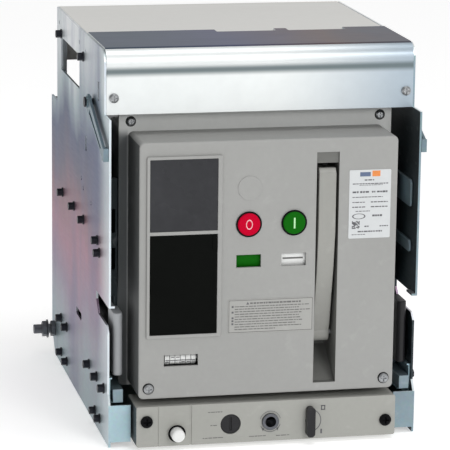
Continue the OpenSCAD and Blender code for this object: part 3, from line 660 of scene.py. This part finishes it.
def round_edges(obj, test, radius):
    """Rolls to a larger radius the edges that pass a test on their middle and themselves."""
    bm = bmesh.new()
    bm.from_mesh(obj.data)
    edges = [e for e in bm.edges if test((e.verts[0].co + e.verts[1].co) / 2 / MM, e)]
    bmesh.ops.bevel(
        bm, geom=edges, offset=radius * MM, segments=4, profile=0.5, affect="EDGES", clamp_overlap=True
    )
    shade_smooth_curves(bm)
    bm.to_mesh(obj.data)
    bm.free()
    obj.data.set_sharp_from_angle(angle=SMOOTH_BELOW)


FOOT_TOP = 60
SHADED_EDGE_TOP = 165


def side_plates():
    for node, side in (("side_plate_left", -1), ("side_plate_right", 1)):
        lit = side < 0
        plate = finished(node, "side_zinc", 0.5)
        # painted shade on the plates' inward faces
        repaint(plate, "zinc_shade", lambda c, n, s=side: n.x * s < -FACING)
        # the front edges: lighter zinc on the lit left plate, darker zinc on the right, painted light and
        # shade
        repaint(plate, "zinc_edge" if lit else "zinc_mid", lambda c, n: n.y < -FACING)
        repaint(plate, "zinc_teal" if lit else "zinc_mid", lambda c, n: n.y < -FACING and c.z < FOOT_TOP)
        if not lit:
            # painted shade on the lower front edge of the right plate
            repaint(plate, "zinc_shade", lambda c, n: n.y < -FACING and FOOT_TOP < c.z < SHADED_EDGE_TOP)


def guards():
    pair = finished("side_guards", "guard_grey", 1.8)
    # painted shade: the right guard is shown in black plastic
    repaint(pair, "black_plastic", lambda c, n: c.x > 0)


SHEET = 2.5
BLOCK_FRONT, BLOCK_BACK = -184, -114
BLOCK_HEIGHTS = ((268, 300), (214, 228))
BLOCK_THICK = 3.2
BLOCK_GAP = 0.2


def guide_blocks():
    """Folded stops inside the side plates, ahead of the carrier plates' tabs."""
    outer_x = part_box("side_plate_right")[1].x / MM - SHEET - BLOCK_GAP
    for side, name in ((-1, "guide_blocks_left"), (1, "guide_blocks_right")):
        bm = bmesh.new()
        for low, high in BLOCK_HEIGHTS:
            outline = [
                (BLOCK_FRONT + 2, low), (BLOCK_BACK - 4, low), (BLOCK_BACK, low + 3), (BLOCK_BACK, high - 4),
                (BLOCK_BACK - 6, high), (BLOCK_FRONT + 4, high), (BLOCK_FRONT, high - 4),
                (BLOCK_FRONT, low + 2),
            ]
            rows = []
            for x in (outer_x, outer_x - BLOCK_THICK):
                rows.append([bm.verts.new((side * x * MM, y * MM, z * MM)) for y, z in outline])
            bm.faces.new(rows[0])
            bm.faces.new(rows[1][::-1])
            skin(bm, rows)
        soften(add_piece(name, closed_mesh(name, bm), "cradle", "zinc_mid"), 0.8)


def hood():
    front = finished("hood_front", "hood_steel", 0.5)
    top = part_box("hood_front")[1].z / MM
    # painted shade: the sheet's up-facing top faces take the dark colours
    repaint(front, "hood_strip", lambda c, n: n.z > FACING and c.z > top - 1)


COVER_RIM = 6.5
COVER_STEP = 1.2
COVER_ROUND = 2.2
SLOT_ACROSS = (54, 82.5)
SLOT_HEIGHT = (70, 345)


def cover():
    """The cover's outline and the edges of its rim are rolled further than its openings."""
    low, high = (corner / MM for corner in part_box("front_cover"))
    front = low.y
    shell = finished("front_cover", "cover_grey", 0.5)

    def on_rim(c, e):
        inset = min(c.x - low.x, high.x - c.x, c.z - low.z, high.z - c.z)
        face = all(abs(v.co.y / MM - front) < COVER_STEP + 0.05 for v in e.verts)
        folded = len(e.link_faces) == 2 and e.calc_face_angle(0) > SMOOTH_BELOW
        return inset < COVER_RIM and face and folded

    round_edges(shell, on_rim, COVER_ROUND)
    # painted shade on the walls and floor of the handle's recess
    repaint(shell, "recess_grey", lambda c, n: (
        SLOT_ACROSS[0] < c.x < SLOT_ACROSS[1] and SLOT_HEIGHT[0] < c.z < SLOT_HEIGHT[1] and c.y > front + 3
    ))
    # painted shade on the cover's left side
    repaint(shell, "side_grey", lambda c, n: n.x < -FACING and c.x < low.x + 1)


def base_bar():
    bar = finished("base_bar", "bar_grey", 0.5)
    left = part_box("base_bar")[0].x / MM
    # painted shade on the bar's left side
    repaint(bar, "bar_side", lambda c, n: n.x < -FACING and c.x < left + 1)


# ---------------------------------------------------------------- printed marks


def flat_shape(bm, outline, y, thick):
    """A thin printed shape from an outline in width and height; the print faces the front."""
    back = [bm.verts.new((x * MM, y * MM, z * MM)) for x, z in outline]
    front = [bm.verts.new((x * MM, (y - thick) * MM, z * MM)) for x, z in outline]
    bm.faces.new(back)
    bm.faces.new(front[::-1])
    skin(bm, [front, back])


def patch(x0, x1, z0, z1):
    return [(x0, z0), (x1, z0), (x1, z1), (x0, z1)]


def dash(x0, x1, z, height):
    return patch(x0, x1, z - height / 2, z + height / 2)


def arc_band(at, radius, width, start, stop, steps=28, squash=1.0):
    """Outline of a curved stroke; angles in degrees from +X towards +Z."""
    def ring(r):
        out = []
        for i in range(steps + 1):
            a = math.radians(start + (stop - start) * i / steps)
            out.append((at[0] + r * squash * math.cos(a), at[1] + r * math.sin(a)))
        return out
    return ring(radius + width / 2) + ring(radius - width / 2)[::-1]


def full_ring(at, radius, width, steps, squash=1.0):
    return arc_band(at, radius, width, 0, 360, steps, squash)


def prints(name, node, material, y, outlines, thick=0.12):
    """Printed shapes on the front of a node, all in one piece."""
    bm = bmesh.new()
    for outline in outlines:
        flat_shape(bm, outline, y, thick)
    return add_piece(name, closed_mesh(name, bm), BODY_OF[node], material)


def words(rng, x0, x1, z, height, longest=7.0):
    """A row of small dashes that reads as a line of print without being any."""
    row = []
    x = x0
    while x < x1 - 0.8:
        width = min(rng.uniform(1.6, longest), x1 - x)
        row.append(dash(x, x + width, z, height * rng.uniform(0.8, 1.0)))
        x += width + rng.uniform(0.5, 1.0)
    return row


# prints are bedded this far into a button, and stand this far off a drum
PRINT_OFFSET = 0.02
LABEL_WIDTH = 49.5
LABEL_ROWS = [  # height below the label's top, left and right ends, height of the stroke
    (12.0, 18, 30, 1.4), (16.3, 4, 46, 1.1), (18.0, 12, 40, 0.7), (26.0, 4, 11, 2.2), (26.0, 13, 24, 2.4),
    (26.0, 27, 31, 2.2), (26.0, 33, 46, 2.2), (32.0, 4, 40, 1.0), (38.0, 4, 20, 1.0), (38.0, 26, 46, 1.3),
    (43.6, 4, 20, 1.3), (43.6, 26, 46, 1.3), (48.5, 8, 25, 0.9), (54.0, 28, 40, 2.4), (66.5, 19, 24, 1.4),
    (66.5, 37, 47, 1.3), (72.5, 11, 40, 1.6), (76.0, 4, 20, 0.8),
]
CODE_CELLS = 8
CODE_PITCH = 1.15
CODE_FILL = 0.62


def rating_label():
    """The rating label, at the right of the two face plates: rows of dashes, an emblem and a code."""
    rng = random.Random(5)
    label = finished("face_plates", "label_card", 0.1, 1)
    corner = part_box("face_plates")[1] / MM
    left, top = corner.x - LABEL_WIDTH, corner.z
    repaint(label, "plate_film", lambda c, n: c.x < left - 1)
    face = front_of("face_plates")
    ink = []
    for down, x0, x1, height in LABEL_ROWS:
        ink += words(rng, left + x0, left + x1, top - down, height, 4.5)
    ink.append(full_ring((left + 12, top - 54.5), 3.0, 0.6, 32, 2.4))
    prints("rating_ink", "face_plates", "ink", face, ink)
    cells = []
    for i in range(CODE_CELLS):
        for j in range(CODE_CELLS):
            if rng.random() < CODE_FILL:
                x, z = left + 4 + i * CODE_PITCH, top - 60.5 - j * CODE_PITCH
                cells.append(dash(x, x + 1.1, z, 1.1))
    prints("rating_code", "face_plates", "ink", face, cells)
    emblem = [dash(left + 27, left + 36.5, top - 4.6, 6.6)]
    prints("rating_emblem", "face_plates", "orange_ink", face, emblem)
    prints("rating_bar", "face_plates", "blue_ink", face, [dash(left + 12.5, left + 25, top - 5.2, 5.0)])


PLATE_WIDTH = 100.5
PLATE_HEIGHT = 40
BORDER_INSET = 0.8
BORDER_WIDTH = 0.6
LINE_PITCH = 3.0


def instruction_plate():
    """The instruction plate, at the lower left of the face plates, its print worn faint."""
    rng = random.Random(11)
    face = front_of("face_plates") + 0.1
    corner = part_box("face_plates")[0] / MM
    x0, z0 = corner.x + BORDER_INSET, corner.z + BORDER_INSET
    x1 = corner.x + PLATE_WIDTH - BORDER_INSET
    z1 = corner.z + PLATE_HEIGHT - BORDER_INSET
    lines = [patch(x0, x1, z1 - BORDER_WIDTH, z1), patch(x0, x1, z0, z0 + BORDER_WIDTH)]
    lines += [patch(x0, x0 + BORDER_WIDTH, z0, z1), patch(x1 - BORDER_WIDTH, x1, z0, z1)]
    lines += words(rng, x0 + 25, x1 - 14, z1 - 4.0, 2.0, 5)
    for row in range(10):
        z = z1 - 7.6 - row * LINE_PITCH
        end = x1 - rng.choice((3, 12, 13, 14, 20, 44 if row == 9 else 16))
        lines += words(rng, x0 + 7, end, z, 1.1, 6)
    prints("instruction_text", "face_plates", "faint_ink", face, lines, 0.08)
    marks = [dash(x0 + 3.4, x0 + 5.6, z1 - h, 2.2) for h in (7.6, 14.2, 21.0, 24.5, 28.0)]
    marks.append([(x0 + 20.5, z1 - 5.4), (x0 + 23.9, z1 - 5.4), (x0 + 22.2, z1 - 2.2)])
    prints("instruction_marks", "face_plates", "ink", face, marks, 0.1)


SHADE_RING_RADIUS = 14.0
SHADE_RING_WIDTH = 2.3


def button_marks():
    """The switch symbols 0 and I, and dark rings of painted shade round the buttons."""
    off, on = middle("off_button"), middle("on_button")
    circle = [full_ring(off, 5.2, 1.3, 40, 0.66)]
    prints("off_mark", "off_button", "red_symbol", front_of("off_button") + PRINT_OFFSET, circle)
    stroke = [dash(on[0] - 0.95, on[0] + 0.95, on[1], 12.5)]
    prints("on_mark", "on_button", "green_symbol", front_of("on_button") + PRINT_OFFSET, stroke)
    # painted shade: a dark ring round each button
    shade_rings = [full_ring(at, SHADE_RING_RADIUS, SHADE_RING_WIDTH, 56) for at in (off, on)]
    prints("button_shade_rings", "front_cover", "gasket_black", front_of("front_cover"), shade_rings, 0.15)


COVER_SCREWS_ACROSS = 139.5
FRAME_SCREWS_ACROSS = 148


def screw_shadow_rims():
    """Dark shadowed rims of the counterbores around the screw heads."""
    low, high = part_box("cover_screws")
    for node, y, across, z, radius in (
        ("front_cover", front_of("front_cover") + COVER_STEP, COVER_SCREWS_ACROSS, low.z / MM + 5.6, 6.1),
        ("front_frame", front_of("front_frame"), FRAME_SCREWS_ACROSS, high.z / MM - 5, 5.5),
    ):
        # painted shadow: a dark rim round each screw head
        rims = [full_ring((x, z), radius, 1.2, 44) for x in (-across, across)]
        prints(node + "_shadow_rims", node, "gasket_black", y, rims, 0.1)


WHEEL_PITCH = 6.2


def window_marks():
    """The index line on the charge drum and the shadowed middle of the counter's wheels."""
    x, _ = middle("charge_flag")
    _, z = middle("open_flag")
    index = [dash(x - 12, x + 12, z + 0.6, 2.0)]
    prints("charge_line", "charge_flag", "faint_ink", front_of("charge_flag") - PRINT_OFFSET, index, 0.06)
    low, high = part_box("counter_wheels")
    left, right = low.x / MM, high.x / MM
    _, z = middle("counter_wheels")
    rng = random.Random(8)
    # painted shadow: the dark line along the middle of the wheels
    ink = [dash(left + 5, right - 4, z - 1.0, 1.0)]
    for i in range(6):
        x = left + 4.4 + i * WHEEL_PITCH
        ink.append(dash(x + 0.6, x + 4.6, z + rng.choice((-3.0, 2.2)), 0.8))
    prints("counter_print_and_shadow", "counter_wheels", "ink", front_of("counter_wheels") - PRINT_OFFSET, ink, 0.06)


BAR_RECESS = 3
LOCK_ARC = 13.5
SLEEVE_ARC = 12.4


def bar_marks():
    """Line marks on the base bar's front: the lock's arc, its two positions and the crank's directions."""
    face = front_of("base_bar") + BAR_RECESS
    x, z = middle("lock_lever")
    black = [arc_band((x, z), LOCK_ARC, 0.9, -62, 62), dash(x + 13.2, x + 15.2, z - 13.5, 5.6)]
    left, right = x + 13.5, x + 18.5
    black += [dash(left, right, z + rise, 1.2) for rise in (12.8, 17.4)]
    black += [dash(left, left + 1.2, z + 15, 5.6), dash(right - 1.2, right, z + 15, 5.6)]
    x, z = middle("crank_sleeve")
    black += [arc_band((x, z), SLEEVE_ARC, 0.8, 205, 342), arc_band((x, z), SLEEVE_ARC, 0.5, 15, 165)]
    for side in (-1, 1):
        tip = x + side * 8.6
        black.append([(tip - 1.4, z - 8.0), (tip + 1.4, z - 8.0), (tip, z - 11.8)][::side])
    prints("bar_marks", "base_bar", "ink", face, black)
    # painted shade: a dark ring round the release button
    shade_ring = [full_ring(middle("release_button"), 9.25, 2.1, 48)]
    prints("release_shade_ring", "base_bar", "gasket_black", front_of("base_bar"), shade_ring, 0.15)
    rng = random.Random(3)
    grey = []
    for x0, x1, z in ((-70, -53, 42.5), (-67, -59, 26.5), (-76, -52, 11.5), (-21, 0, 11.0), (11, 27, 10.5)):
        grey += words(rng, x0, x1, z, 1.0)
    prints("bar_text", "base_bar", "faint_ink", face, grey)


# ---------------------------------------------------------------- turned and wound pieces


def ring_of(bm, centre, side, up, radii):
    """Vertices evenly round a centre, each at its own radius."""
    ring = []
    for k, radius in enumerate(radii):
        a = 2 * math.pi * k / len(radii)
        ring.append(bm.verts.new(centre + (side * math.cos(a) + up * math.sin(a)) * radius))
    return ring


def square_to(axis):
    """Two directions square to an axis and to each other."""
    side = axis.cross(Vector((0, 0, 1)) if abs(axis.z) < 0.9 else Vector((1, 0, 0))).normalized()
    return side, axis.cross(side)


def close_ends(bm, rings):
    bm.faces.new(rings[0][::-1])
    bm.faces.new(rings[-1])


WIRE_SIDES = 10


def wire_mesh(name, path, radius):
    """A round wire swept along a path of points, in metres."""
    bm = bmesh.new()
    rings = []
    for i, point in enumerate(path):
        ahead = (path[min(i + 1, len(path) - 1)] - path[max(i - 1, 0)]).normalized()
        rings.append(ring_of(bm, point, *square_to(ahead), [radius] * WIRE_SIDES))
    skin(bm, rings)
    close_ends(bm, rings)
    for f in bm.faces:
        f.smooth = True
    return closed_mesh(name, bm)


THREAD_SIDES = 28
ROWS_A_TURN = 6
THREAD_DEPTH = 0.45  # of the pitch


def thread_mesh(name, start, stop, radius, pitch):
    """A screw thread of triangular section along a straight rod, between two points in metres."""
    axis = (stop - start).normalized()
    side, up = square_to(axis)
    length = (stop - start).length
    rows = int(length / pitch * ROWS_A_TURN) + 1
    depth = pitch * THREAD_DEPTH
    bm = bmesh.new()
    rings = []
    for i in range(rows + 1):
        turns = length * i / rows / pitch
        cuts = [abs((turns - k / THREAD_SIDES) % 1.0 * 2 - 1) for k in range(THREAD_SIDES)]
        if i in (0, rows):
            cuts = [1.0] * THREAD_SIDES
        radii = [radius - depth * part for part in cuts]
        rings.append(ring_of(bm, start + axis * length * (i / rows), side, up, radii))
    skin(bm, rings)
    close_ends(bm, rings)
    return closed_mesh(name, bm)


SPRING_TURNS = 10.5
STEPS_A_TURN = 28
COIL_RADIUS = 12 * MM
WIRE_RADIUS = 3 * MM
COIL_SEAT, COIL_HEADROOM = 29 * MM, 14 * MM
ROD_SIDES = 32


def closing_spring():
    """The spring's coil, and the guide rod with its flange that carries it."""
    low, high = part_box("closing_spring")
    centre = (low + high) / 2
    bottom, top = low.z + COIL_SEAT, high.z - COIL_HEADROOM
    steps = int(SPRING_TURNS * STEPS_A_TURN)
    path = []
    for i in range(steps + 1):
        a = 2 * math.pi * i / STEPS_A_TURN
        rise = (top - bottom) * i / steps
        x, y = centre.x + COIL_RADIUS * math.cos(a), centre.y + COIL_RADIUS * math.sin(a)
        path.append(Vector((x, y, bottom + rise)))
    coil_mesh = wire_mesh("closing_spring_coil", path, WIRE_RADIUS)
    coil = add_piece("closing_spring_coil", coil_mesh, "breaker", "spring_steel")
    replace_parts(coil, "closing_spring")
    length = (high.z - low.z) / MM
    profile = [  # radius and height of the guide rod's turned outline, in millimetres
        (0, 0), (4, 0), (5, 1), (5, 20.5), (15.5, 20.5), (16, 21), (16, 25), (15.5, 25.5), (5, 25.5),
        (5, length - 1), (4, length), (0, length),
    ]
    bm = bmesh.new()
    rings = []
    for radius, rise in profile:
        level = Vector((centre.x, centre.y, low.z + rise * MM))
        rings.append(ring_of(bm, level, Vector((1, 0, 0)), Vector((0, 1, 0)), [radius * MM] * ROD_SIDES))
    skin(bm, rings)
    bmesh.ops.remove_doubles(bm, verts=bm.verts, dist=1e-6)
    add_piece("closing_spring_rod", closed_mesh("closing_spring_rod", bm), "breaker", "steel")


THREAD_FRONT, THREAD_BACK = -142 * MM, 89 * MM
THREAD_RADIUS = 8 * MM
THREAD_PITCH = 6 * MM
JOURNAL_RADIUS = 6.5 * MM
SLACK = 0.5 * MM


def racking_screw():
    """The screw's thread, and its plain journals and square drive from the CAD mesh."""
    centre = sum(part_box("racking_screw"), Vector()) / 2
    ends = [Vector((centre.x, y, centre.z)) for y in (THREAD_FRONT, THREAD_BACK)]
    thread = thread_mesh("racking_thread", *ends, THREAD_RADIUS, THREAD_PITCH)
    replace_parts(add_piece("racking_thread", thread, "screw", "steel"), "racking_screw")
    journals = clean_mesh("racking_screw")
    bm = bmesh.new()
    bm.from_mesh(journals)
    collars = []
    for v in bm.verts:
        from_axis = math.hypot(v.co.x - centre.x, v.co.z - centre.z)
        if THREAD_FRONT - SLACK < v.co.y < THREAD_BACK + SLACK and from_axis > JOURNAL_RADIUS:
            collars.append(v)
    bmesh.ops.delete(bm, geom=collars, context="VERTS")
    bm.to_mesh(journals)
    bm.free()
    add_piece("racking_journals", journals, "screw", "steel")


make_camera()
make_studio()
make_floor()
for node_name, (radius, finish) in FINISHES.items():
    finished(node_name, finish, radius)
side_plates()
guards()
guide_blocks()
hood()
cover()
base_bar()
rating_label()
instruction_plate()
button_marks()
screw_shadow_rims()
window_marks()
bar_marks()
closing_spring()
racking_screw()
